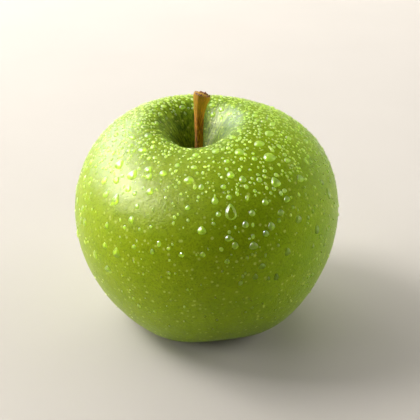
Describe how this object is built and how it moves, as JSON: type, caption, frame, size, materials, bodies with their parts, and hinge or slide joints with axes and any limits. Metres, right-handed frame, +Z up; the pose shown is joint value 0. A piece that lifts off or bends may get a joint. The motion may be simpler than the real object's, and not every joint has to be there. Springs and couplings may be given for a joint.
{
  "type": "green apple",
  "caption": "Fresh round green apple with a woody stem in its stem cavity and a dried calyx in the basin underneath; stands on the lobes of its base.",
  "frame": {"origin": "on the plane that the fruit stands on, under the middle of the fruit", "axes": "+Z up along the core of the fruit, from the calyx to the stem; -Y towards the side seen first; +X to the right of that side"},
  "size_m": [0.078, 0.078, 0.0701],
  "materials": {
    "skin": "waxy satin fruit skin, yellow green to deep green, with pale lenticels",
    "stem_wood": "matt woody stalk, orange brown to dark brown, snapped end",
    "dry_sepal": "dry downy brown green sepal",
    "dry_stamen": "dry dark brown stamens",
    "water": "clear water drops on the skin"
  },
  "bodies": {
    "root": {"fruit": "skin", "stem": "stem_wood", "sepal_1": "dry_sepal", "sepal_2": "dry_sepal", "sepal_3": "dry_sepal", "sepal_4": "dry_sepal", "sepal_5": "dry_sepal", "stamen_tuft": "dry_stamen"}
  },
  "joints": []
}
